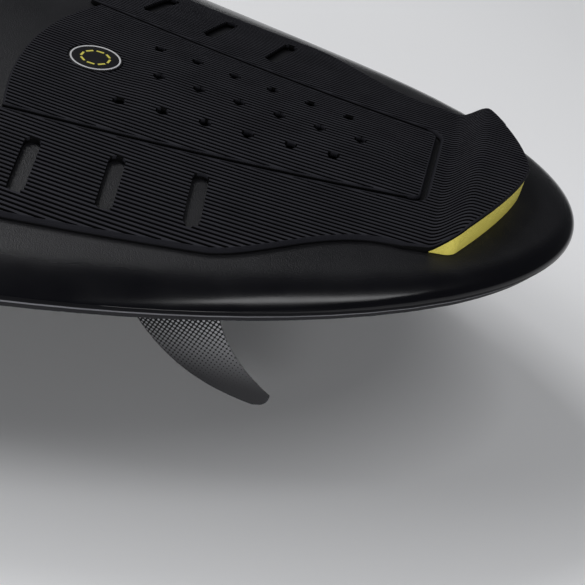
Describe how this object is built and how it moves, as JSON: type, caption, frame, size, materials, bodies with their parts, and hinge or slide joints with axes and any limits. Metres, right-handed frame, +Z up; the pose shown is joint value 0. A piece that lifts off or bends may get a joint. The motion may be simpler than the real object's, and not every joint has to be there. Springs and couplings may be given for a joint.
{
  "type": "kiteboard",
  "caption": "Directional kite surfboard with a round tail, a grooved foam traction pad rising to a kick, and removable swept side fins",
  "frame": {"origin": "middle of the overall box in X and Y, at the level of the fin tips in Z", "axes": "+X runs along the board to the tail, +Y to the rider's right when facing the nose, +Z up through the deck"},
  "size_m": [1.5, 0.49, 0.176],
  "materials": {
    "deck_laminate": "gloss black lacquer on the rail, satin textured deck",
    "bottom_laminate": "sanded gloss grey lacquer",
    "core_foam": "cut foam",
    "stringer_wood": "planed",
    "dense_foam": "cut dense foam",
    "box_plastic": "moulded",
    "fin_composite": "sanded composite",
    "screw_steel": "stainless",
    "pad_foam": "ribbed foam sheet",
    "wedge_foam": "cut foam",
    "badge_plastic": "moulded disc"
  },
  "bodies": {
    "hull": {"deck_shell": "deck_laminate", "bottom_shell": "bottom_laminate", "foam_core_left": "core_foam", "foam_core_right": "core_foam", "stringer": "stringer_wood", "fin_block_left": "dense_foam", "fin_block_right": "dense_foam", "fin_box_left": "box_plastic", "fin_box_right": "box_plastic", "pad_center": "pad_foam", "pad_outer": "pad_foam", "kick_wedge": "wedge_foam", "pad_badge": "badge_plastic"},
    "fin_left": {"fin_left": "fin_composite"},
    "fin_right": {"fin_right": "fin_composite"},
    "screw_left_front": {"fin_screw_left_front": "screw_steel"},
    "screw_left_rear": {"fin_screw_left_rear": "screw_steel"},
    "screw_right_front": {"fin_screw_right_front": "screw_steel"},
    "screw_right_rear": {"fin_screw_right_rear": "screw_steel"}
  },
  "joints": [
    {"name": "fin_left_release", "type": "slide", "parent": "hull", "child": "fin_left", "axis": [0.0484, -0.0017, -0.9988], "range_m": [0, 0.019]},
    {"name": "fin_right_release", "type": "slide", "parent": "hull", "child": "fin_right", "axis": [0.0484, 0.0017, -0.9988], "range_m": [0, 0.019]},
    {"name": "screw_left_front_turn", "type": "hinge", "parent": "hull", "child": "screw_left_front", "pos_m": [0.49986, -0.10463, 0.09722], "axis": [0.0336, -0.3434, -0.9386], "range_deg": [0, 360]},
    {"name": "screw_left_rear_turn", "type": "hinge", "parent": "hull", "child": "screw_left_rear", "pos_m": [0.54578, -0.10623, 0.09945], "axis": [0.0336, -0.3434, -0.9386], "range_deg": [0, 360]},
    {"name": "screw_right_front_turn", "type": "hinge", "parent": "hull", "child": "screw_right_front", "pos_m": [0.49986, 0.10463, 0.09722], "axis": [0.0336, 0.3434, -0.9386], "range_deg": [0, 360]},
    {"name": "screw_right_rear_turn", "type": "hinge", "parent": "hull", "child": "screw_right_rear", "pos_m": [0.54578, 0.10623, 0.09945], "axis": [0.0336, 0.3434, -0.9386], "range_deg": [0, 360]}
  ]
}
